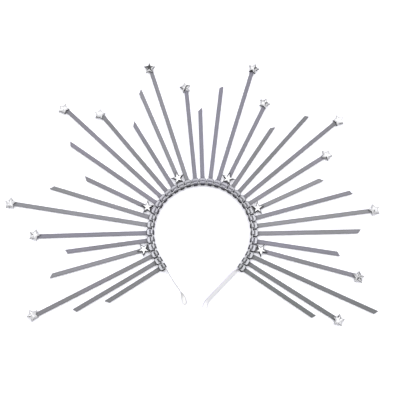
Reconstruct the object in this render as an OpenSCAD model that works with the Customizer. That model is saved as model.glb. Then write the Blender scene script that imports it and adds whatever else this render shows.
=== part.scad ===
// Halo crown. Cable ties are cinched side by side round a thin metal headband, with their
// long tails fanned out as rays, and faceted star gems are glued to the rays.
// The crown lies face up on the noses of its tie heads, which meet the plane z = 0.
// The origin is the centre of the headband's round arch, on that plane. +Y points to the
// top of the crown and +Z to its face.

/* [Headband] */
// Radius of the round arch, to the middle of the strip
arch_r = 58.4; // [58:0.1:60]
// Width of the strip, along Z where the ties hold it
band_w = 5.5; // [5:0.1:5.8]
// Thickness of the strip
band_t = 1; // [0.8:0.1:1]
// Turn of the right leg's strip about its own length
right_twist = 45; // [0:5:60]
// Turn of the right leg's strip at its very end
right_end_twist = 75; // [60:5:85]
// Turn of the left leg's strip at its very end
left_end_twist = 60; // [0:5:75]

/* [Ties] */
// Angle from one tie to the next round the arch
tie_step = 8.28; // [8.2:0.02:8.3]
// Width of the strap
tie_w = 4.8; // [4:0.1:5]
// Thickness of the strap
tie_t = 1.3; // [1.1:0.1:1.3]
// Width of the head, along the band
head_w = 8; // [7.6:0.1:8]
// Height of the head, outwards from the band
head_h = 6.4; // [6:0.1:6.6]
// Length of the head, from its nose at z = 0
head_len = 8; // [7.6:0.1:8]
// Inner radius of the bow that the strap makes over the band's front edge
bow_in = 1.35; // [1.05:0.1:1.45]
// Depth of the toothed track in the face of each tail
track_deep = 0.2; // [0.1:0.05:0.4]

/* [Star gems] */
// Tip radius of the gems beside the heads
root_star_r = 8.4; // [7.6:0.1:8.4]
// Thickness of the gems beside the heads
root_star_t = 4.4; // [3.5:0.1:4.6]
// Tip radius of the gems at the ends of the tails
tip_star_r = 7.2; // [6.5:0.1:7.6]
// Thickness of the gems at the ends of the tails
tip_star_t = 4; // [3:0.1:4.6]

/* [Hidden] */
// One row a tie, from the lower left round over the top to the lower right:
// LEAN of the tail from the band's normal in degrees, anticlockwise; LENGTH of the tail
// from the band; CUT, how much longer the tail's clockwise edge is than its other edge.
LEAN = 0;
LENGTH = 1;
CUT = 2;
TIES = [
    [1.5, 76.5, 4.4],
    [-2.9, 112.5, 2.7],
    [1.8, 156.5, 0],
    [-1.3, 123.5, -4.4],
    [-1, 101.5, 2.6],
    [1.2, 138.2, 0],
    [-1.4, 172, 0],
    [-1.1, 129.5, -4.6],
    [-1.3, 96, 4.8],
    [-2.4, 136, 4.2],
    [-2.1, 171.9, 0],
    [-1, 135.4, 0],
    [-1.1, 100.5, 5.4],
    [-1.2, 135.5, 5.6],
    [1.8, 160.5, 0],
    [-2.2, 125, 0],
    [2.3, 95.5, 4.8],
    [1.9, 126.5, 3],
    [0, 159.3, 0],
    [-1, 120.4, 0],
    [-0.1, 97.5, 4.8],
    [0.2, 135.5, 2.6],
    [-0.1, 159, 0],
    [0.9, 119.3, 0],
    [1.3, 98, 4],
    [0.3, 125.5, 2.6],
    [0.9, 146.8, 0],
    [2.8, 126, -4],
    [1.1, 102, 3.6],
    [3, 129, 0],
    [1.8, 159.5, -3.4],
    [2, 125.9, 0],
    [0.3, 100.5, -2.6],
];

// One row a gem: ON, the tie that carries it; TURN, the angle from the tail to the gem's
// nearest arm; SIDE, how far the gem sits beside the middle of the tail.
ON = 0;
TURN = 1;
SIDE = 2;
TIP_STARS = [
    [3, -11, -1.2],
    [6, 36, -1.1],
    [7, -14, 0.5],
    [11, 5, 1.7],
    [12, 23, 1.6],
    [15, -18, 1],
    [16, 8, 1],
    [19, -3, -0.9],
    [20, -1, 1.4],
    [23, -4, -0.6],
    [24, 31, -0.5],
    [27, 27, 0],
    [30, 25, -1],
    [32, 37, 0.2],
];
ROOT_STARS = [
    [4, 2, 0],
    [9, 6, 0],
    [14, -5, 0],
    [20, 6, 0],
    [25, -6, 0],
    [30, -3, 0],
];

function pad(n) = n < 10 ? str("0", n) : str(n);
function tie_name(i) = str("tie_", pad(i + 1));
function tip_name(k) = str("tip_star_", pad(k + 1));
function root_name(k) = str("root_star_", k + 1);

// The band's middle line, walked from the top down each side in stretches of [length, turn]:
// the round arch, then the slight bends of the leg, then the turn towards its end.
pitch = arch_r * tie_step * PI / 180;
top_tie = (len(TIES) - 1) / 2;
arc_run = (top_tie - 1) * pitch;
arc_turn = (top_tie - 1) * tie_step;
RIGHT_SIDE = [
    [arc_run, -arc_turn],
    [11, 0],
    [3, -11.8],
    [20, 2.4],
    [28.1, 0],
    [5, 26.2],
    [4.7, 8.1],
];
LEFT_SIDE = [
    [arc_run, -arc_turn],
    [2.5, 0],
    [3.4, 3],
    [15.4, 0],
    [14, -4.6],
    [8.7, 0],
    [5, 14.6],
    [10.5, 11.7],
];

function run_of(side, k = 0) = k == len(side) ? 0 : side[k][0] + run_of(side, k + 1);

// The point [x, y, heading] after a walk of s along one side.
function walk(side, s, x = 0, y = arch_r, h = 0, k = 0) =
    let (
        l = min(s, side[k][0]),
        t = side[k][1] * l / side[k][0],
        r = t == 0 ? 0 : l / (t * PI / 180),
        dx = t == 0 ? l * cos(h) : r * (sin(h + t) - sin(h)),
        dy = t == 0 ? l * sin(h) : r * (cos(h) - cos(h + t))
    )
    s > side[k][0] && k < len(side) - 1
        ? walk(side, s - l, x + dx, y + dy, h + t, k + 1)
        : [x + dx, y + dy, h + t];

// The same point for any s: positive down the right side, negative down the left.
function place(s) =
    let (p = walk(s < 0 ? LEFT_SIDE : RIGHT_SIDE, abs(s)))
    s < 0 ? [-p.x, p.y, -p.z] : p;

// Heights. A strap hugs the band with a slight gap, and comes out of its head as the tail.
hug = 0.1;
head_in = band_t / 2 + hug;
nose_wall = 1.85;
tail_top = nose_wall + tie_t;
back_z = tail_top + head_in;
front_z = back_z + band_w - band_t;
band_z = (back_z + front_z) / 2;

// Twist of the strip: none under the ties, then growing smoothly along each leg. The right
// leg turns just past its last tie and again at its end, the left leg only near its end.
last_tie = top_tie * pitch;
left_run = run_of(LEFT_SIDE);
right_run = run_of(RIGHT_SIDE);
right_turn_from = last_tie + 3.5;
right_turn_run = 6;
right_end_run = 10;
left_end_from = left_run - 15.5;
left_end_run = 9;
function ease(u) = let (v = max(0, min(1, u))) v * v * (3 - 2 * v);
function twist(s) =
    s < 0
        ? left_end_twist * ease((-s - left_end_from) / left_end_run)
        : right_twist * ease((s - right_turn_from) / right_turn_run)
            + (right_end_twist - right_twist) * ease((s - right_run + right_end_run) / right_end_run);

// How much narrower the strip is at s on each of its edges, for its rounded ends:
// [length, depth] of the rounding.
LEFT_END = [4.4, 2.1];
RIGHT_END = [1, 0.8];
function narrowing(s) =
    let (
        end = s < 0 ? LEFT_END : RIGHT_END,
        left_over = s < 0 ? s + left_run : right_run - s,
        u = 1 - max(0, min(1, left_over / end[0]))
    )
    end[1] * (1 - sqrt(1 - u * u));

// The strip's cross-section at s, with round edges: [outwards, along Z].
edge_steps = 3;
function section(s) = [
    for (side = [1, -1], j = [0:edge_steps])
        let (a = side * 90 - 90 + 180 * j / edge_steps)
        [
            band_t / 2 * cos(a),
            side * ((band_w - band_t) / 2 - narrowing(s)) + band_t / 2 * sin(a)
        ]
];

// A ring of the strip's surface at s, turned by the twist.
function strip_ring(s) =
    let (p = place(s), w = twist(s))
    [
        for (q = section(s))
            let (n = q.x * cos(w) - q.y * sin(w), z = q.x * sin(w) + q.y * cos(w))
            [p.x - n * sin(p.z), p.y + n * cos(p.z), band_z + z]
    ];

// Where the rings stand: wide apart under the ties, closer on the legs, closest at the ends.
arch_step = 3;
leg_step = 1.4;
end_step = 0.55;
function spread(a, b, step) =
    let (n = ceil((b - a) / step))
    [for (j = [0:n - 1]) a + (b - a) * j / n];

module headband() {
    arch_end = last_tie + tie_w / 2;
    stations = concat(
        spread(-left_run, LEFT_END[0] - left_run, end_step),
        spread(LEFT_END[0] - left_run, -arch_end, leg_step),
        spread(-arch_end, arch_end, arch_step),
        spread(arch_end, right_run - RIGHT_END[0], leg_step),
        spread(right_run - RIGHT_END[0], right_run, end_step),
        [right_run]
    );
    steps = len(stations) - 1;
    n = len(section(0));
    points = [for (s = stations) each strip_ring(s)];
    faces = concat(
        [[for (k = [0:n - 1]) k]],
        [[for (k = [n - 1:-1:0]) steps * n + k]],
        [
            for (j = [0:steps - 1], k = [0:n - 1])
                let (m = (k + 1) % n)
                each [
                    [j * n + k, (j + 1) * n + k, (j + 1) * n + m],
                    [j * n + k, (j + 1) * n + m, j * n + m],
                ]
        ]
    );
    color("#dcdce2")
        polyhedron(points, faces, convexity = 12);
}

// Half of a round bend of the strap in side view, upper or lower as dir points.
module bend(inner, dir) {
    outer = inner + tie_t;
    intersection() {
        difference() {
            circle(outer, $fn = 60);
            circle(inner, $fn = 60);
        }
        translate([-outer - 1, dir > 0 ? 0 : -outer - 1])
            square([2 * outer + 2, outer + 1]);
    }
}

// The strap's loop in side view: x is outwards from the band's middle line, y is height.
bow_x = bow_in - head_in;
root_deep = 2;
module loop_outline() {
    // The bow over the band's front edge, and down its inner face
    translate([bow_x, front_z])
        bend(bow_in, 1);
    translate([-head_in - tie_t, back_z])
        square([tie_t, front_z - back_z]);
    // Under the back edge, and into the head
    intersection() {
        translate([0, back_z])
            bend(head_in, -1);
        translate([-head_in - tie_t - 1, 0])
            square([head_in + tie_t + 1, back_z]);
    }
    translate([0, nose_wall])
        square([head_in, tie_t]);
    // The root, where the strap grows out of the head
    translate([bow_x + bow_in, head_len - root_deep])
        square([tie_t, front_z + root_deep - head_len]);
}

// The head: cut off at the outer corners, and at the outer edge of its face.
corner = 2;
slope = 0.8;
base_corner = 0.5;
mouth_deep = 1.6;
mouth_side = 0.5;
mouth_above = 0.9;
mouth_below = 0.3;
module head() {
    far = head_in + head_h;
    difference() {
        intersection() {
            linear_extrude(head_len)
                polygon([
                    [head_in + base_corner, -head_w / 2],
                    [far - corner, -head_w / 2],
                    [far, corner - head_w / 2],
                    [far, head_w / 2 - corner],
                    [far - corner, head_w / 2],
                    [head_in + base_corner, head_w / 2],
                    [head_in, head_w / 2 - base_corner],
                    [head_in, base_corner - head_w / 2],
                ]);
            rotate([90, 0, 0])
                linear_extrude(head_w + 2, center = true)
                    polygon([
                        [head_in, 0],
                        [far, 0],
                        [far, head_len - slope],
                        [far - slope, head_len],
                        [head_in, head_len],
                    ]);
        }
        // The mouth of the slot, where the tail leaves
        translate([far - mouth_deep, -tie_w / 2 - mouth_side, nose_wall - mouth_below])
            cube([mouth_deep + 1, tie_w + 2 * mouth_side, mouth_below + tie_t + mouth_above]);
    }
}

// The tail, from inside the head to its slanted end, with the toothed track in its face.
track_w = 3.2;
track_from = 1.5;
in_head = 1.5;
module tail(length, cut) {
    difference() {
        linear_extrude(tie_t)
            polygon([
                [in_head, -tie_w / 2],
                [length + cut / 2, -tie_w / 2],
                [length - cut / 2, tie_w / 2],
                [in_head, tie_w / 2],
            ]);
        translate([head_h + track_from, -track_w / 2, tie_t - track_deep])
            cube([length, track_w, track_deep + 1]);
    }
}

// Puts its children at s on the band's middle line, with x outwards.
module on_band(s) {
    p = place(s);
    translate([p.x, p.y, 0])
        rotate([0, 0, p.z + 90])
            children();
}

function tie_s(i) = (i - top_tie) * pitch;

module tie(i) {
    row = TIES[i];
    color("#96959c")
        on_band(tie_s(i)) {
            head();
            rotate([90, 0, 0])
                linear_extrude(tie_w, center = true)
                    loop_outline();
            translate([head_in, 0, nose_wall])
                rotate([0, 0, row[LEAN]])
                    tail(row[LENGTH], row[CUT]);
        }
}

// The gems' shapes, as shares of the tip radius: NOTCH between the arms; TABLE_TIP and
// TABLE_NOTCH of the star-shaped table; and GIRDLE, the height of the upright sides.
NOTCH = 0;
TABLE_TIP = 1;
TABLE_NOTCH = 2;
GIRDLE = 3;
TIP_CUT = [0.52, 0.7, 0.3, 0.36];
ROOT_CUT = [0.38, 0.82, 0.3, 0.31];

// A star outline of five arms, as ten points at height z.
function star_ring(tip, notch, z) = [
    for (j = [0:9])
        let (r = j % 2 == 0 ? tip : notch)
        [r * cos(36 * j), r * sin(36 * j), z]
];

// A cut star: flat back, upright girdle, twenty crown facets and a star-shaped table.
module star_gem(tip, cut, high) {
    points = concat(
        star_ring(tip, cut[NOTCH] * tip, 0),
        star_ring(tip, cut[NOTCH] * tip, cut[GIRDLE] * tip),
        star_ring(cut[TABLE_TIP] * tip, cut[TABLE_NOTCH] * tip, high)
    );
    faces = concat(
        [[for (j = [0:9]) j]],
        [
            for (level = [0, 10], j = [0:9])
                let (m = (j + 1) % 10, a = level + j, b = level + m)
                each (j % 2 == 0
                    ? [[a, a + 10, b + 10], [a, b + 10, b]]
                    : [[a, a + 10, b], [b, a + 10, b + 10]])
        ],
        [for (j = [0:2:8]) [20 + j, 20 + (j + 9) % 10, 20 + j + 1]],
        [[for (j = [9:-2:1]) 20 + j]]
    );
    polyhedron(points, faces);
}

// Puts its children on the face of tie i's tail, out from the band, with x along the tail.
module on_tail(i, out, side) {
    on_band(tie_s(i))
        translate([head_in, 0, tail_top])
            rotate([0, 0, TIES[i][LEAN]])
                translate([out, side, 0])
                    children();
}

// The gems at the tips sit with their middle just inside the end of the tail.
tip_inset = 0.5;
module tip_star(k) {
    row = TIP_STARS[k];
    i = row[ON] - 1;
    color("#ececf0")
        on_tail(i, TIES[i][LENGTH] - tip_inset, row[SIDE])
            rotate([0, 0, row[TURN]])
                star_gem(tip_star_r, TIP_CUT, tip_star_t);
}

// The gems at the roots nest against the heads, a head's end between two of their arms.
root_out = 12.2;
module root_star(k) {
    row = ROOT_STARS[k];
    color("#ececf0")
        on_tail(row[ON] - 1, root_out, row[SIDE])
            rotate([0, 0, row[TURN]])
                star_gem(root_star_r, ROOT_CUT, root_star_t);
}

headband();
for (i = [0:len(TIES) - 1])
    tie(i);
for (k = [0:len(TIP_STARS) - 1])
    tip_star(k);
for (k = [0:len(ROOT_STARS) - 1])
    root_star(k);
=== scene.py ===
from math import cos, pi, radians, sin

import bmesh
import bpy
import numpy as np
from mathutils import Matrix, Vector


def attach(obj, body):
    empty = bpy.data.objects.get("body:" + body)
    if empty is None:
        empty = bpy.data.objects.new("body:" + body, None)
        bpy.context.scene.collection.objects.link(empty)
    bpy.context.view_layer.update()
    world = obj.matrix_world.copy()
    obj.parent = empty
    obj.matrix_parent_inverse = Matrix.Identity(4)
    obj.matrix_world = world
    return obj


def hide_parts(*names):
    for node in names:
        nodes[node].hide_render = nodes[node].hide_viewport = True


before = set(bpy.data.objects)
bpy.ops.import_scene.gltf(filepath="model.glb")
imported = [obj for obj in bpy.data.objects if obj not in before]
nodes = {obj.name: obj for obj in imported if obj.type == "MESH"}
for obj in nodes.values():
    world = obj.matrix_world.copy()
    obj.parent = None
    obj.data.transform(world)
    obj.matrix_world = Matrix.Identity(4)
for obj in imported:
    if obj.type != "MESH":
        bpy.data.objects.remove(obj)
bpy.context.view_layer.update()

# Headband. The real one is a thin strip of spring steel with bright plating, bent on its
# flat to a round arch and rounded off at its ends. The two bare legs are twisted by hand. Their
# pale, dull colour is a painted reflection of the white table round them, greyer on the left leg,
# with painted shade darker along the cut edges.
mm = 0.001
band_smooth = radians(25)
plating_color = (0.5, 0.5, 0.53, 1)
plating_rough = (0.3, 0.42)
plating_contrast = 0.86
# Painted colours of the legs: a pale painted reflection on their faces and painted shade on their cut
# edges, both greyer on the left leg.
leg_reflection_color = (0.97, 0.96, 1, 1)
leg_edge_shade_color = (0.62, 0.6, 0.68, 1)
left_leg_reflection_color = (0.92, 0.92, 0.92, 1)
left_leg_edge_shade_color = (0.57, 0.57, 0.57, 1)
leg_rough = (0.35, 0.5)
leg_contrast = 0.95
# The legs start below this height, and their faces smaller than this are the cut edges'.
leg_top = -39.4 * mm
edge_area = 0.6 * mm * mm
# Fine lines drawn along the strip: a pattern that is far closer over its width than along it.
draw_lines = (60, 60, 2600)
draw_depth = 0.1
draw_patch = 20
draw_speck = 1
patch_share = 0.7
relief_depth = 0.05 * mm
noise_low = 0.35
noise_high = 0.65
weld = 0.001 * mm


def tone_group():
    """A node group that varies a colour and a roughness over the surface, in patches and specks."""
    group = bpy.data.node_groups.new("handled_surface", "ShaderNodeTree")
    inputs = {
        "Vector": "NodeSocketVector",
        "Patch scale": "NodeSocketFloat",
        "Speck scale": "NodeSocketFloat",
        "Patch share": "NodeSocketFloat",
        "Dark": "NodeSocketColor",
        "Light": "NodeSocketColor",
        "Smooth": "NodeSocketFloat",
        "Rough": "NodeSocketFloat",
    }
    outputs = {
        "Color": "NodeSocketColor",
        "Roughness": "NodeSocketFloat",
        "Height": "NodeSocketFloat",
    }
    for label, kind in inputs.items():
        group.interface.new_socket(label, in_out="INPUT", socket_type=kind)
    for label, kind in outputs.items():
        group.interface.new_socket(label, in_out="OUTPUT", socket_type=kind)
    add, link = group.nodes.new, group.links.new
    inside = add("NodeGroupInput")
    outside = add("NodeGroupOutput")
    patches = add("ShaderNodeTexNoise")
    specks = add("ShaderNodeTexNoise")
    for noise, scale, detail in ((patches, "Patch scale", 3), (specks, "Speck scale", 2)):
        noise.inputs["Detail"].default_value = detail
        link(inside.outputs["Vector"], noise.inputs["Vector"])
        link(inside.outputs[scale], noise.inputs["Scale"])
    both = add("ShaderNodeMix")
    link(inside.outputs["Patch share"], both.inputs["Factor"])
    link(specks.outputs["Fac"], both.inputs["A"])
    link(patches.outputs["Fac"], both.inputs["B"])
    spread = add("ShaderNodeMapRange")
    spread.inputs["From Min"].default_value = noise_low
    spread.inputs["From Max"].default_value = noise_high
    link(both.outputs["Result"], spread.inputs["Value"])
    color = add("ShaderNodeMix")
    color.data_type = "RGBA"
    link(spread.outputs["Result"], color.inputs["Factor"])
    link(inside.outputs["Dark"], color.inputs["A"])
    link(inside.outputs["Light"], color.inputs["B"])
    rough = add("ShaderNodeMix")
    link(spread.outputs["Result"], rough.inputs["Factor"])
    link(inside.outputs["Smooth"], rough.inputs["A"])
    link(inside.outputs["Rough"], rough.inputs["B"])
    link(color.outputs["Result"], outside.inputs["Color"])
    link(rough.outputs["Result"], outside.inputs["Roughness"])
    link(specks.outputs["Fac"], outside.inputs["Height"])
    return group


surface_tone = tone_group()


def toned_material(name, dark, light, rough, patch, speck, bump, stretch=(1, 1, 1)):
    """A material whose colour and roughness come from the tone group; returns it and its shader."""
    material = bpy.data.materials.new(name)
    material.use_nodes = True
    tree = material.node_tree
    shader = tree.nodes["Principled BSDF"]
    place = tree.nodes.new("ShaderNodeTexCoord")
    mapping = tree.nodes.new("ShaderNodeMapping")
    mapping.inputs["Scale"].default_value = stretch
    tone = tree.nodes.new("ShaderNodeGroup")
    tone.node_tree = surface_tone
    tone.inputs["Patch scale"].default_value = patch
    tone.inputs["Speck scale"].default_value = speck
    tone.inputs["Patch share"].default_value = patch_share
    tone.inputs["Dark"].default_value = dark
    tone.inputs["Light"].default_value = light
    tone.inputs["Smooth"].default_value = rough[0]
    tone.inputs["Rough"].default_value = rough[1]
    relief = tree.nodes.new("ShaderNodeBump")
    relief.inputs["Strength"].default_value = bump
    relief.inputs["Distance"].default_value = relief_depth
    tree.links.new(place.outputs["Object"], mapping.inputs["Vector"])
    tree.links.new(mapping.outputs["Vector"], tone.inputs["Vector"])
    tree.links.new(tone.outputs["Color"], shader.inputs["Base Color"])
    tree.links.new(tone.outputs["Roughness"], shader.inputs["Roughness"])
    tree.links.new(tone.outputs["Height"], relief.inputs["Height"])
    tree.links.new(relief.outputs["Normal"], shader.inputs["Normal"])
    return material, shader


def finished_piece(name, mesh, materials, sharp_angle):
    """A mesh as a finished piece of the object: smooth but for its sharp edges, with its materials."""
    for material in materials:
        mesh.materials.append(material)
    mesh.shade_smooth()
    mesh.set_sharp_from_angle(angle=sharp_angle)
    piece = bpy.data.objects.new(name, mesh)
    bpy.context.scene.collection.objects.link(piece)
    return piece


def scaled(color, share):
    """A colour made darker by a share."""
    return tuple(share * c for c in color[:3]) + (1,)


def plating(name, color, rough, contrast, metal):
    """A finish of the strip, drawn along its length."""
    material, shader = toned_material(
        name,
        dark=scaled(color, contrast),
        light=color,
        rough=rough,
        patch=draw_patch,
        speck=draw_speck,
        bump=draw_depth,
        stretch=draw_lines,
    )
    shader.inputs["Metallic"].default_value = metal
    return material


bright_plating = plating("bright_plating", plating_color, plating_rough, plating_contrast, metal=1)
reflection_plating = plating("reflection_plating", leg_reflection_color, leg_rough, leg_contrast, metal=0)
edge_shade_plating = plating("edge_shade_plating", leg_edge_shade_color, leg_rough, leg_contrast, metal=0)
left_reflection_plating = plating("left_reflection_plating", left_leg_reflection_color, leg_rough, leg_contrast, metal=0)
left_edge_shade_plating = plating("left_edge_shade_plating", left_leg_edge_shade_color, leg_rough, leg_contrast, metal=0)
plate_finishes = [bright_plating, reflection_plating, edge_shade_plating, left_reflection_plating, left_edge_shade_plating]

band_mesh = nodes["headband"].data.copy()
band_mesh.materials.clear()
band_mesh.attributes.remove(band_mesh.attributes["custom_normal"])
joined = bmesh.new()
joined.from_mesh(band_mesh)
bmesh.ops.remove_doubles(joined, verts=joined.verts, dist=weld)
# Leg faces get the painted reflection finish, and their small cut-edge faces the painted shade.
for face in joined.faces:
    centre = face.calc_center_median()
    if centre.y < leg_top:
        leg = (left_reflection_plating, left_edge_shade_plating) if centre.x < 0 else (reflection_plating, edge_shade_plating)
        flat, cut = leg
        finish = cut if face.calc_area() < edge_area else flat
        face.material_index = plate_finishes.index(finish)
joined.to_mesh(band_mesh)
joined.free()
band_piece = finished_piece("headband_strip", band_mesh, plate_finishes, band_smooth)
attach(band_piece, "root")
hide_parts("headband")

# Cable ties. Each is moulded in one piece of silver-grey nylon: a block-shaped head, and a
# strap with a toothed track between two rails. The strap goes over the band's front edge,
# down its inner face and under its back edge, and is pulled out through the head as a ray.
strap_w = 4.8 * mm
strap_t = 1.3 * mm
strap_in = 0.6 * mm
strap_mid_z = 2.5 * mm
tail_in = 0.9 * mm
body_round = 0.2 * mm
rail_round = 0.15 * mm
end_reach = 0.1 * mm
head_w = 8 * mm
head_out = 7 * mm
head_long = 8 * mm
head_corner = 2 * mm
head_slope = 0.8 * mm
head_base_corner = 0.5 * mm
head_bevel = 0.3 * mm
head_flat = radians(1)
head_flare = 0.3 * mm
head_ease = 0.72 * mm
slot_out = 3.55 * mm
slot_side = 0.3 * mm
slot_deep = 1.4 * mm
loop_round = 0.4 * mm
loop_in = 1.6 * mm
mouth_deep = 1.6 * mm
mouth_side = 0.5 * mm
mouth_low = 1.55 * mm
mouth_high = 4.05 * mm
turn_r = strap_in + strap_t / 2
turn_z = strap_mid_z + turn_r
bow_r = 2 * mm
bow_x = bow_r - turn_r
bow_z = 8.25 * mm
root_z = 6.5 * mm
bend_steps = 12
bow_steps = 36
round_steps = 2
track_w = 3.2 * mm
track_deep = 0.2 * mm
track_z = 2.95 * mm
tooth_pitch = 1.2 * mm
tooth_high = 0.34 * mm
tooth_part = 0.82
tooth_slope = 0.9
tooth_start = head_out + 0.6 * mm
tie_smooth = radians(12)
# How close to a height a corner of the solid has to be to count as lying at it.
level_reach = 0.005 * mm
point_digits = 7
# The ties' grey varies between a greenish and a violet one. The mauve tint is a dye batch's;
# the darker slate grey is painted shade, mostly on the lowest ties; the silver makes some ties
# lighter.
nylon_green = (0.219, 0.222, 0.224, 1)
nylon_violet = (0.273, 0.26, 0.313, 1)
nylon_mauve = (0.252, 0.247, 0.305, 1)
nylon_painted_shade = (0.18, 0.189, 0.191, 1)
nylon_silver = (0.312, 0.317, 0.328, 1)
# The tints laid over the ties' own grey, the slate one painted shade: each one's colour, and its share
# in the ties that have it, by their numbers.
tie_tints = {
    "mauve_share": {
        "color": nylon_mauve,
        "ties": {4: 0.3, 5: 0.3, 6: 0.6, 7: 0.3, 13: 0.3, 14: 0.3, 15: 0.3, 16: 0.7, 17: 1, 18: 0.8,
                 19: 0.7, 20: 0.4, 26: 0.3, 29: 0.5},
    },
    "painted_shade_share": {
        "color": nylon_painted_shade,
        "ties": {1: 0.6, 2: 0.4, 21: 0.1, 22: 0.3, 23: 0.1, 30: 0.1, 31: 0.7, 32: 0.8, 33: 1},
    },
    "silver_share": {
        "color": nylon_silver,
        "ties": {4: 0.5, 7: 0.5, 8: 0.3, 14: 0.4, 15: 0.3, 24: 0.2, 25: 0.6, 26: 0.2, 27: 0.6, 28: 0.3,
                 30: 0.1},
    },
}
# The toothed track is matt, and the strap round it smoother and darker: its darkness is
# painted shade, matching the shade among the teeth and along the strap's edges. The head and
# the loop come polished out of the mould.
matt_rough = (0.5, 0.6)
matt_shine = 0.25
matt_speck = 1500
matt_grain = 0.12
smooth_grain = 0.06
smooth_shade_tone = 0.77
polish_rough = (0.12, 0.2)
polish_speck = 1200
polish_grain = 0.04
polish_tone = 0.63
polish_ior = 2.1
polish_tint = (0.93, 0.935, 1, 1)
nylon_patch = 16


def nylon(name, tone, rough, speck, bump):
    """The ties' nylon, darkened by a share, with the colours of the tints, the slate one painted
    shade, mixed over its own by the tie's shares of them; returns it and its shader."""
    material, shader = toned_material(
        name,
        dark=scaled(nylon_green, tone),
        light=scaled(nylon_violet, tone),
        rough=rough,
        patch=nylon_patch,
        speck=speck,
        bump=bump,
    )
    tree = material.node_tree
    base = shader.inputs["Base Color"]
    color = base.links[0].from_socket
    for label, tie_tint in tie_tints.items():
        share = tree.nodes.new("ShaderNodeAttribute")
        share.attribute_name = label
        mix = tree.nodes.new("ShaderNodeMix")
        mix.data_type = "RGBA"
        mix.inputs["B"].default_value = scaled(tie_tint["color"], tone)
        tree.links.new(share.outputs["Fac"], mix.inputs["Factor"])
        tree.links.new(color, mix.inputs["A"])
        color = mix.outputs["Result"]
    tree.links.new(color, base)
    return material, shader


silver_nylon, shader = nylon("silver_nylon", 1, matt_rough, matt_speck, matt_grain)
shader.inputs["Specular IOR Level"].default_value = matt_shine
# A darker copy of the track's nylon: painted shade on the strap round the track.
shaded_smooth_nylon, shader = nylon("shaded_smooth_nylon", smooth_shade_tone, matt_rough, matt_speck, smooth_grain)
shader.inputs["Specular IOR Level"].default_value = matt_shine
polished_nylon, shader = nylon("polished_nylon", polish_tone, polish_rough, polish_speck, polish_grain)
shader.inputs["IOR"].default_value = polish_ior
shader.inputs["Specular Tint"].default_value = polish_tint


def node_tree(name, inputs):
    """An empty Geometry Nodes tree with a mesh input, named value inputs and a mesh output."""
    tree = bpy.data.node_groups.new(name, "GeometryNodeTree")
    tree.is_modifier = True
    tree.interface.new_socket("Geometry", in_out="INPUT", socket_type="NodeSocketGeometry")
    for label, kind in inputs.items():
        tree.interface.new_socket(label, in_out="INPUT", socket_type=kind)
    tree.interface.new_socket("Geometry", in_out="OUTPUT", socket_type="NodeSocketGeometry")
    return tree, tree.nodes.new("NodeGroupInput"), tree.nodes.new("NodeGroupOutput")


def strap_tree():
    """Sweeps a strap's round-edged cross-section along the input's line."""
    tree, inside, outside = node_tree(
        "strap_along_line",
        {
            "Width": "NodeSocketFloat",
            "Thickness": "NodeSocketFloat",
            "Edge radius": "NodeSocketFloat",
            "Material": "NodeSocketMaterial",
        },
    )
    add, link = tree.nodes.new, tree.links.new
    line = add("GeometryNodeMeshToCurve")
    section = add("GeometryNodeCurvePrimitiveQuadrilateral")
    rounded = add("GeometryNodeFilletCurve")
    rounded.mode = "POLY"
    rounded.inputs["Count"].default_value = round_steps
    sweep = add("GeometryNodeCurveToMesh")
    sweep.inputs["Fill Caps"].default_value = True
    real = add("GeometryNodeRealizeInstances")
    finish = add("GeometryNodeSetMaterial")
    link(inside.outputs["Geometry"], line.inputs["Mesh"])
    link(inside.outputs["Width"], section.inputs["Width"])
    link(inside.outputs["Thickness"], section.inputs["Height"])
    link(section.outputs["Curve"], rounded.inputs["Curve"])
    link(inside.outputs["Edge radius"], rounded.inputs["Radius"])
    link(line.outputs["Curve"], sweep.inputs["Curve"])
    link(rounded.outputs["Curve"], sweep.inputs["Profile Curve"])
    link(sweep.outputs["Mesh"], real.inputs["Geometry"])
    link(real.outputs["Geometry"], finish.inputs["Geometry"])
    link(inside.outputs["Material"], finish.inputs["Material"])
    link(finish.outputs["Geometry"], outside.inputs["Geometry"])
    return tree


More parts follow.
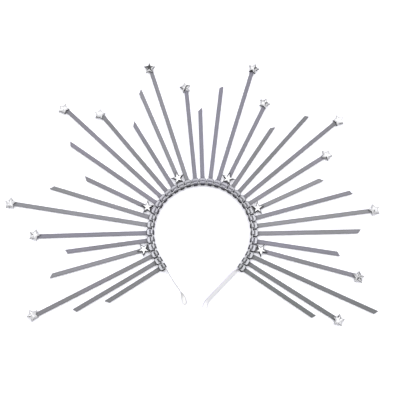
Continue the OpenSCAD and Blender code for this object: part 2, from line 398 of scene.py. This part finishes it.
def teeth_tree():
    """Sets saw-shaped teeth across the track, one each pitch along the input's line. A tooth is
    a block whose upper front edge is lowered by the slope, as a share of its height."""
    tree, inside, outside = node_tree(
        "track_teeth",
        {
            "Pitch": "NodeSocketFloat",
            "Tooth width": "NodeSocketFloat",
            "Tooth height": "NodeSocketFloat",
            "Tooth share": "NodeSocketFloat",
            "Slope": "NodeSocketFloat",
            "Material": "NodeSocketMaterial",
        },
    )
    add, link = tree.nodes.new, tree.links.new
    line = add("GeometryNodeMeshToCurve")
    steps = add("GeometryNodeResampleCurve")
    steps.mode = "LENGTH"
    long = add("ShaderNodeMath")
    long.operation = "MULTIPLY"
    size = add("ShaderNodeCombineXYZ")
    block = add("GeometryNodeMeshCube")
    where = add("GeometryNodeInputPosition")
    parts = add("ShaderNodeSeparateXYZ")
    front = add("FunctionNodeCompare")
    front.operation = "GREATER_THAN"
    high = add("FunctionNodeCompare")
    high.operation = "GREATER_THAN"
    edge = add("FunctionNodeBooleanMath")
    edge.operation = "AND"
    drop = add("ShaderNodeMath")
    drop.operation = "MULTIPLY"
    lower = add("ShaderNodeMath")
    lower.operation = "MULTIPLY"
    lower.inputs[1].default_value = -1
    down = add("ShaderNodeCombineXYZ")
    saw = add("GeometryNodeSetPosition")
    row = add("GeometryNodeInstanceOnPoints")
    real = add("GeometryNodeRealizeInstances")
    finish = add("GeometryNodeSetMaterial")
    link(inside.outputs["Geometry"], line.inputs["Mesh"])
    link(line.outputs["Curve"], steps.inputs["Curve"])
    link(inside.outputs["Pitch"], steps.inputs["Length"])
    link(inside.outputs["Pitch"], long.inputs[0])
    link(inside.outputs["Tooth share"], long.inputs[1])
    link(long.outputs["Value"], size.inputs["X"])
    link(inside.outputs["Tooth width"], size.inputs["Y"])
    link(inside.outputs["Tooth height"], size.inputs["Z"])
    link(size.outputs["Vector"], block.inputs["Size"])
    link(where.outputs["Position"], parts.inputs["Vector"])
    link(parts.outputs["X"], front.inputs["A"])
    link(parts.outputs["Z"], high.inputs["A"])
    link(front.outputs["Result"], edge.inputs[0])
    link(high.outputs["Result"], edge.inputs[1])
    link(inside.outputs["Tooth height"], drop.inputs[0])
    link(inside.outputs["Slope"], drop.inputs[1])
    link(drop.outputs["Value"], lower.inputs[0])
    link(lower.outputs["Value"], down.inputs["Z"])
    link(block.outputs["Mesh"], saw.inputs["Geometry"])
    link(edge.outputs["Boolean"], saw.inputs["Selection"])
    link(down.outputs["Vector"], saw.inputs["Offset"])
    link(steps.outputs["Curve"], row.inputs["Points"])
    link(saw.outputs["Geometry"], row.inputs["Instance"])
    link(row.outputs["Instances"], real.inputs["Geometry"])
    link(real.outputs["Geometry"], finish.inputs["Geometry"])
    link(inside.outputs["Material"], finish.inputs["Material"])
    link(finish.outputs["Geometry"], outside.inputs["Geometry"])
    return tree


strap_along_line = strap_tree()
track_teeth = teeth_tree()


def evaluated_mesh(holder):
    """The mesh that an object's modifiers make, as plain data; the object is removed."""
    depsgraph = bpy.context.evaluated_depsgraph_get()
    mesh = bpy.data.meshes.new_from_object(holder.evaluated_get(depsgraph))
    for modifier in list(holder.modifiers):
        holder.modifiers.remove(modifier)
    bpy.data.objects.remove(holder)
    return mesh


def grown(tree, line, values):
    """The mesh that a tree makes from a line of points, with its named inputs set."""
    mesh = bpy.data.meshes.new("line")
    mesh.from_pydata(line, [(i, i + 1) for i in range(len(line) - 1)], [])
    holder = bpy.data.objects.new("line", mesh)
    bpy.context.scene.collection.objects.link(holder)
    modifier = holder.modifiers.new(tree.name, "NODES")
    modifier.node_group = tree
    for item in tree.interface.items_tree:
        if item.in_out == "INPUT" and item.name in values:
            modifier[item.identifier] = values[item.name]
    return evaluated_mesh(holder)


def strap_mesh(line, edge, width=strap_w, thickness=strap_t):
    """A length of strap along a line."""
    return grown(
        strap_along_line,
        line,
        {"Width": width, "Thickness": thickness, "Edge radius": edge, "Material": shaded_smooth_nylon},
    )


def head_mesh():
    """The moulded head, eased on its edges, with the mouth that the tail leaves by and the slot
    that the loop goes down into."""
    half = head_w / 2
    wide = half + head_flare
    outline = [
        (strap_in, half - head_base_corner),
        (strap_in + head_base_corner, half),
        (head_out - head_corner, wide),
        (head_out - head_slope, wide - head_corner + head_slope),
        (head_out, wide - head_corner),
    ]
    shape = bmesh.new()
    for x, y in outline:
        top = head_long - max(0, x - (head_out - head_slope))
        for hand in (-1, 1):
            shape.verts.new((x, hand * y, 0))
            shape.verts.new((x, hand * y, top - head_ease))
            shape.verts.new((x, hand * (y - head_ease), top))
    bmesh.ops.convex_hull(shape, input=shape.verts)
    bmesh.ops.dissolve_limit(shape, angle_limit=head_flat, verts=shape.verts, edges=shape.edges)
    bmesh.ops.bevel(
        shape,
        geom=shape.edges,
        offset=head_bevel,
        segments=round_steps,
        profile=0.5,
        affect="EDGES",
    )
    mesh = bpy.data.meshes.new("head")
    shape.to_mesh(mesh)
    shape.free()
    holder = bpy.data.objects.new("head", mesh)
    cutter = bpy.data.objects.new("mouth", bpy.data.meshes.new("mouth"))
    for made in (holder, cutter):
        bpy.context.scene.collection.objects.link(made)
    hole = bmesh.new()
    mouth_at = (head_out, 0, (mouth_high + mouth_low) / 2)
    mouth_size = (2 * mouth_deep, strap_w + 2 * mouth_side, mouth_high - mouth_low)
    slot_at = (slot_out / 2, 0, head_long)
    slot_size = (slot_out, strap_w + 2 * slot_side, 2 * slot_deep)
    for centre, size in ((mouth_at, mouth_size), (slot_at, slot_size)):
        place = Matrix.Translation(centre) @ Matrix.Diagonal((*size, 1))
        bmesh.ops.create_cube(hole, size=1, matrix=place)
    hole.to_mesh(cutter.data)
    hole.free()
    cut = holder.modifiers.new("mouth", "BOOLEAN")
    cut.operation = "DIFFERENCE"
    cut.object = cutter
    mesh = evaluated_mesh(holder)
    bpy.data.objects.remove(cutter)
    return mesh


def loop_line():
    """The strap's middle line in side view, from inside the head round the band to its root."""
    line = [(loop_in, 0, strap_mid_z)]
    for step in range(bend_steps + 1):
        turn = -pi / 2 - pi / 2 * step / bend_steps
        line.append((turn_r * cos(turn), 0, turn_z + turn_r * sin(turn)))
    for step in range(bow_steps + 1):
        turn = pi - pi * step / bow_steps
        line.append((bow_x + bow_r * cos(turn), 0, bow_z + bow_r * sin(turn)))
    line.append((bow_x + bow_r, 0, root_z))
    return line


def tie_place(points):
    """Where a tie's CAD solid has its head and tail: the band's middle, the outward direction,
    the tail's start and direction, its length, and how much longer its clockwise edge is."""
    nose = points[points[:, 2] < level_reach][:, :2]
    middle = nose.mean(axis=0)
    across = np.linalg.eigh(np.cov((nose - middle).T)).eigenvectors[:, 0]
    out = across if across @ middle > 0 else -across
    nose_mid = (2 * strap_in + head_base_corner + 2 * head_out - head_corner) / 4
    band = middle - nose_mid * out
    start = band + strap_in * out
    floor = points[abs(points[:, 2] - track_z) < level_reach][:, :2]
    floor = floor[np.linalg.norm(floor - start, axis=1) > head_out]
    floor = floor[np.argsort(np.linalg.norm(floor - start, axis=1))]
    near, far = floor[:2].mean(axis=0), floor[-2:].mean(axis=0)
    along = (far - near) / np.linalg.norm(far - near)
    side = np.array([-along[1], along[0]])
    length = (far - start) @ along
    one, other = sorted(floor[-2:], key=lambda p: (p - start) @ side)
    cut = ((one - other) @ along) * strap_w / track_w
    return band, out, start, along, length, cut


def frame_matrix(origin, x_axis):
    """The matrix that puts a local shape at a point of the plane, with its x along a direction."""
    return Matrix((
        (x_axis[0], -x_axis[1], 0, origin[0]),
        (x_axis[1], x_axis[0], 0, origin[1]),
        (0, 0, 1, 0),
        (0, 0, 0, 1),
    ))


def node_points(name):
    """A CAD node's corners, each once, as an array of metres."""
    corners = np.array([v.co[:] for v in nodes[name].data.vertices])
    return np.unique(np.round(corners, point_digits), axis=0)


def slanted(mesh, length, cut):
    """Slants the tail's end as the cutters left it."""
    for corner in mesh.vertices:
        if corner.co.x > length - end_reach:
            corner.co.x -= cut * corner.co.y / strap_w
    return mesh


def tail_parts(length, cut):
    """The tail's meshes, each with its finish: the strap under the track, the two rails beside
    it and the teeth in it."""
    body_z = track_z - strap_t / 2
    body_line = [(tail_in, 0, body_z), (length, 0, body_z)]
    body = strap_mesh(body_line, body_round, thickness=strap_t - track_deep)
    parts = [(slanted(body, length, cut), shaded_smooth_nylon)]
    rail_w = (strap_w - track_w) / 2
    rail_t = strap_t / 2
    rail_z = track_z + track_deep - rail_t / 2
    for hand in (-1, 1):
        y = hand * (strap_w - rail_w) / 2
        rail_line = [(tail_in, y, rail_z), (length, y, rail_z)]
        rail = strap_mesh(rail_line, rail_round, rail_w, rail_t)
        parts.append((slanted(rail, length, cut), shaded_smooth_nylon))
    last_tooth = length - abs(cut) / 2 - tooth_pitch
    teeth = grown(
        track_teeth,
        [(tooth_start, 0, track_z), (last_tooth, 0, track_z)],
        {
            "Pitch": tooth_pitch,
            "Tooth width": track_w,
            "Tooth height": tooth_high,
            "Tooth share": tooth_part,
            "Slope": tooth_slope,
            "Material": silver_nylon,
        },
    )
    parts.append((teeth, silver_nylon))
    return parts


def joined_mesh(name, parts, finishes):
    """One mesh of several, each put in its place and given its finish."""
    whole = bmesh.new()
    for mesh, finish, place in parts:
        placed = mesh.copy()
        placed.transform(place)
        placed.polygons.foreach_set("material_index", [finishes.index(finish)] * len(placed.polygons))
        whole.from_mesh(placed)
        bpy.data.meshes.remove(placed)
    mesh = bpy.data.meshes.new(name)
    whole.to_mesh(mesh)
    whole.free()
    return mesh


nylon_finishes = [silver_nylon, polished_nylon, shaded_smooth_nylon]
head = head_mesh()
loop = strap_mesh(loop_line(), loop_round)
for name in sorted(name for name in nodes if name.startswith("tie_")):
    band, out, start, along, length, cut = tie_place(node_points(name))
    parts = [(mesh, polished_nylon, frame_matrix(band, out)) for mesh in (head, loop)]
    for mesh, finish in tail_parts(length, cut):
        parts.append((mesh, finish, frame_matrix(start, along)))
    mesh = joined_mesh("cable_" + name, parts, nylon_finishes)
    number = int(name.split("_")[1])
    # The tie's shares of the tints; its share of the slate grey is painted shade.
    for label, tie_tint in tie_tints.items():
        share = mesh.attributes.new(label, "FLOAT", "FACE")
        share.data.foreach_set("value", [tie_tint["ties"].get(number, 0)] * len(mesh.polygons))
    piece = finished_piece("cable_" + name, mesh, nylon_finishes, tie_smooth)
    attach(piece, "root")
    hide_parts(name)

# Star gems. They are flat-backed stars of clear acrylic, cut with a star-shaped table and
# sloping facets round it, and backed with silver foil. Each is glued on a strap: the small
# ones at the ends of the tails, the large ones beside the heads. The facets' tones are painted:
# painted reflections, bright on some facets and dark on others, and painted shadow at the strap's
# side.
foil_color = (0.85, 0.85, 0.875, 1)
foil_rough = 0.07
foil_share = 0.15
shade_color = (0.01, 0.01, 0.012, 1)
table_dip = 0.25 * mm
star_corners = 10
ring_reach = 0.02 * mm
ring_digits = 5
# The looks of a gem: its table's size, as a share of the solid's, the ranges of its facets'
# tones and the shares of dark facets round the table and in it, all painted reflections. A side
# facet is painted dark, the shadow at the gem's edge on its strap, if it faces the crown's centre
# more squarely than the limit given last: 2 is never.
small_gem = {
    "spread": 1,
    "table": (0.62, 0.95),
    "crown": (0.92, 1),
    "side": (0.95, 1),
    "dark": 0.04,
    "spots": 0.04,
    "shadow_facing": 0.8,
}
large_gem = {
    "spread": 0.82,
    "table": (0.95, 1),
    "crown": (0.1, 0.5),
    "side": (0.02, 0.3),
    "dark": 0.4,
    "spots": 0,
    "shadow_facing": 2,
}
painted_shadow_tone = 0.03
dark_reflection_tone = 0.07
back_tone = 0.5
gem_seed = 7
# Gems whose painted reflections and shadow differ from the rest's, by what differs.
gem_looks = {
    "tip_star_01": {"shadow_facing": 2},
    "tip_star_03": {"spots": 0.2},
    "tip_star_06": {"table": (0.02, 0.02), "dark": 0.3},
    "tip_star_07": {"table": (0.5, 0.9), "dark": 0.15, "spots": 0.35, "shadow_facing": 2},
    "tip_star_08": {"table": (0.6, 1), "dark": 0.15, "spots": 0.35},
    "tip_star_09": {"table": (0.6, 1), "dark": 0.15, "spots": 0.35},
    "tip_star_10": {"table": (0.9, 1)},
    "tip_star_13": {"table": (0.4, 1), "dark": 0.2, "spots": 0.35},
    "tip_star_14": {"dark": 0.2},
}

gem_foil = bpy.data.materials.new("foil_backed_gem")
gem_foil.use_nodes = True
tree = gem_foil.node_tree
shader = tree.nodes["Principled BSDF"]
shader.inputs["Metallic"].default_value = foil_share
shader.inputs["Roughness"].default_value = foil_rough
# Each facet's tone mixes near black with the foil colour: painted reflections and painted shadow on
# the facets.
facet = tree.nodes.new("ShaderNodeAttribute")
facet.attribute_name = "painted_light_tone"
tint = tree.nodes.new("ShaderNodeMix")
tint.data_type = "RGBA"
tint.inputs["A"].default_value = shade_color
tint.inputs["B"].default_value = foil_color
tree.links.new(facet.outputs["Fac"], tint.inputs["Factor"])
tree.links.new(tint.outputs["Result"], shader.inputs["Base Color"])


def gem_rings(name):
    """The three rings of ten corners that outline a gem: back, girdle and table, tips first."""
    points = node_points(name)
    levels = sorted({round(z, ring_digits) for z in points[:, 2]})
    rings = []
    for level in (levels[0], levels[-2], levels[-1]):
        ring = points[abs(points[:, 2] - level) < ring_reach]
        middle = ring[:, :2].mean(axis=0)
        spokes = ring[:, :2] - middle
        order = np.argsort(np.arctan2(spokes[:, 1], spokes[:, 0]))
        ring, reach = ring[order], np.linalg.norm(spokes[order], axis=1)
        if reach[0] < reach[1]:
            ring = np.roll(ring, -1, axis=0)
        rings.append(ring)
    return rings


def gem_mesh(name, looks, rng):
    """A cut star, each facet with a tone of its own: painted reflections on the facets, painted shadow
    on some sides.
    """
    back, girdle, table = gem_rings(name)
    centre = table.mean(axis=0)
    table = centre + looks["spread"] * (table - centre)
    table[1::2, 2] -= table_dip
    points = [tuple(p) for ring in (back, girdle, table) for p in ring] + [tuple(centre)]
    girdle_at, table_at, centre_at = star_corners, 2 * star_corners, 3 * star_corners
    faces = [tuple(range(star_corners - 1, -1, -1))]
    tones = [back_tone]

    def painted_light_tone(kind, dark="dark"):
        return dark_reflection_tone if rng.random() < looks[dark] else rng.uniform(*looks[kind])

    inward = -centre[:2] / np.linalg.norm(centre[:2])
    for j in range(star_corners):
        k = (j + 1) % star_corners
        faces.append((j, k, girdle_at + k, girdle_at + j))
        outward = (girdle[j] + girdle[k])[:2] / 2 - centre[:2]
        # Painted shadow on the side facets that face the crown's centre.
        in_shadow = outward @ inward > looks["shadow_facing"] * np.linalg.norm(outward)
        tones.append(painted_shadow_tone if in_shadow else painted_light_tone("side"))
    for j in range(star_corners):
        k = (j + 1) % star_corners
        tip, notch = (j, k) if j % 2 == 0 else (k, j)
        flip = 1 if j % 2 == 0 else -1
        faces.append((girdle_at + tip, girdle_at + notch, table_at + notch)[::flip])
        faces.append((girdle_at + tip, table_at + notch, table_at + tip)[::flip])
        tones.append(painted_light_tone("crown"))
        tones.append(painted_light_tone("crown"))
    for j in range(star_corners):
        faces.append((table_at + j, table_at + (j + 1) % star_corners, centre_at))
        tones.append(painted_light_tone("table", "spots"))
    mesh = bpy.data.meshes.new(name)
    mesh.from_pydata(points, [], faces)
    tone = mesh.attributes.new("painted_light_tone", "FLOAT", "FACE")
    tone.data.foreach_set("value", tones)
    return mesh


gem_names = sorted(name for name in nodes if "star" in name)
for count, name in enumerate(gem_names):
    looks = (small_gem if "tip" in name else large_gem) | gem_looks.get(name, {})
    mesh = gem_mesh(name, looks, np.random.default_rng(gem_seed + count))
    piece = bpy.data.objects.new("gem_" + name, mesh)
    bpy.context.scene.collection.objects.link(piece)
    mesh.materials.append(gem_foil)
    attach(piece, "root")
    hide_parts(name)

# Studio. The crown lies on a plain white table under a wide soft light and two brighter
# strips, and the camera looks down on it, tipped a little towards its top. The table looks
# fully lit but throws back little light, so that the undersides stay dark.
table_size = 1.0
table_white = (1.13, 1.13, 1.2, 1)
table_bounce = (0.03, 0.03, 0.03, 1)
# Soft lights that hang level over the table, as (name, glow, place, size).
soft_lights = [
    ("ceiling_panel", 1.6, (0, 0.19, 1.0), (1.7, 2.02)),
    ("strip_light", 3.4, (0, 0.12, 0.98), (1.4, 0.24)),
    ("back_strip", 1.4, (0, 0.36, 0.98), (1.4, 0.24)),
]
# The room's glow by height, as (share of the way up from the horizon, brightness). Dull
# surfaces get a little more of it than shows in the polished ones.
room_glow = [(0, 0.2), (0.5, 0.2), (0.75, 0.06), (1, 0.06)]
dull_share = 1.3
# The camera's aim, how far it is tipped from straight down, its distance and its roll.
aim = Vector((-0.0031, 0.03944, 0))
camera_tilt = radians(13)
camera_far = 0.65
camera_roll = radians(0.47)
sensor = 36
# The photograph's scale at the crown in pixels to the metre, and its width in pixels.
photo_scale = 835
photo_width = 400

white_table = bpy.data.materials.new("white_table")
white_table.use_nodes = True
tree = white_table.node_tree
tree.nodes.clear()
rays = tree.nodes.new("ShaderNodeLightPath")
seen = tree.nodes.new("ShaderNodeBsdfDiffuse")
seen.inputs["Color"].default_value = table_white
lit = tree.nodes.new("ShaderNodeBsdfDiffuse")
lit.inputs["Color"].default_value = table_bounce
choice = tree.nodes.new("ShaderNodeMixShader")
below = tree.nodes.new("ShaderNodeNewGeometry")
clear = tree.nodes.new("ShaderNodeBsdfTransparent")
sided = tree.nodes.new("ShaderNodeMixShader")
surface = tree.nodes.new("ShaderNodeOutputMaterial")
tree.links.new(rays.outputs["Is Camera Ray"], choice.inputs["Fac"])
tree.links.new(lit.outputs["BSDF"], choice.inputs[1])
tree.links.new(seen.outputs["BSDF"], choice.inputs[2])
tree.links.new(below.outputs["Backfacing"], sided.inputs["Fac"])
tree.links.new(choice.outputs["Shader"], sided.inputs[1])
tree.links.new(clear.outputs["BSDF"], sided.inputs[2])
tree.links.new(sided.outputs["Shader"], surface.inputs["Surface"])

table_mesh = bpy.data.meshes.new("table_top")
half = table_size / 2
table_corners = [(-half, -half, 0), (half, -half, 0), (half, half, 0), (-half, half, 0)]
table_mesh.from_pydata(table_corners, [], [(0, 1, 2, 3)])
table_mesh.materials.append(white_table)
table_top = bpy.data.objects.new("table_top", table_mesh)
bpy.context.scene.collection.objects.link(table_top)

room = bpy.data.worlds.new("studio_room")
room.use_nodes = True
tree = room.node_tree
glow = tree.nodes["Background"]
dim = tree.nodes.new("ShaderNodeMix")
dim.inputs["A"].default_value = 1
dim.inputs["B"].default_value = dull_share
place = tree.nodes.new("ShaderNodeTexCoord")
parts = tree.nodes.new("ShaderNodeSeparateXYZ")
sky = tree.nodes.new("ShaderNodeValToRGB")
while len(sky.color_ramp.elements) < len(room_glow):
    sky.color_ramp.elements.new(1)
for stop, (height, level) in zip(sky.color_ramp.elements, room_glow):
    stop.position = height
    stop.color = (level, level, level, 1)
rays = tree.nodes.new("ShaderNodeLightPath")
shown = tree.nodes.new("ShaderNodeMix")
shown.data_type = "RGBA"
shown.inputs["B"].default_value = (1, 1, 1, 1)
tree.links.new(place.outputs["Generated"], parts.inputs["Vector"])
tree.links.new(parts.outputs["Z"], sky.inputs["Fac"])
tree.links.new(sky.outputs["Color"], shown.inputs["A"])
tree.links.new(rays.outputs["Is Camera Ray"], shown.inputs["Factor"])
tree.links.new(shown.outputs["Result"], glow.inputs["Color"])
tree.links.new(rays.outputs["Is Diffuse Ray"], dim.inputs["Factor"])
tree.links.new(dim.outputs["Result"], glow.inputs["Strength"])
bpy.context.scene.world = room

for name, light_glow, place, size in soft_lights:
    light = bpy.data.lights.new(name, "AREA")
    light.shape = "RECTANGLE"
    light.size, light.size_y = size
    light.energy = light_glow * pi * light.size * light.size_y
    lamp = bpy.data.objects.new(name, light)
    lamp.location = place
    lamp.visible_camera = False
    bpy.context.scene.collection.objects.link(lamp)

roll = Matrix.Rotation(camera_roll, 3, "Z")
back = roll @ Vector((0, -sin(camera_tilt), cos(camera_tilt)))
right = roll @ Vector((1, 0, 0))
up = back.cross(right)
lens = bpy.data.cameras.new("camera")
lens.sensor_width = sensor
lens.lens = sensor * photo_scale * camera_far / photo_width
camera = bpy.data.objects.new("camera", lens)
turn = Matrix((right, up, back)).transposed().to_4x4()
camera.matrix_world = Matrix.Translation(aim + back * camera_far) @ turn
bpy.context.scene.collection.objects.link(camera)
bpy.context.scene.camera = camera
bpy.context.scene.view_settings.view_transform = "Standard"
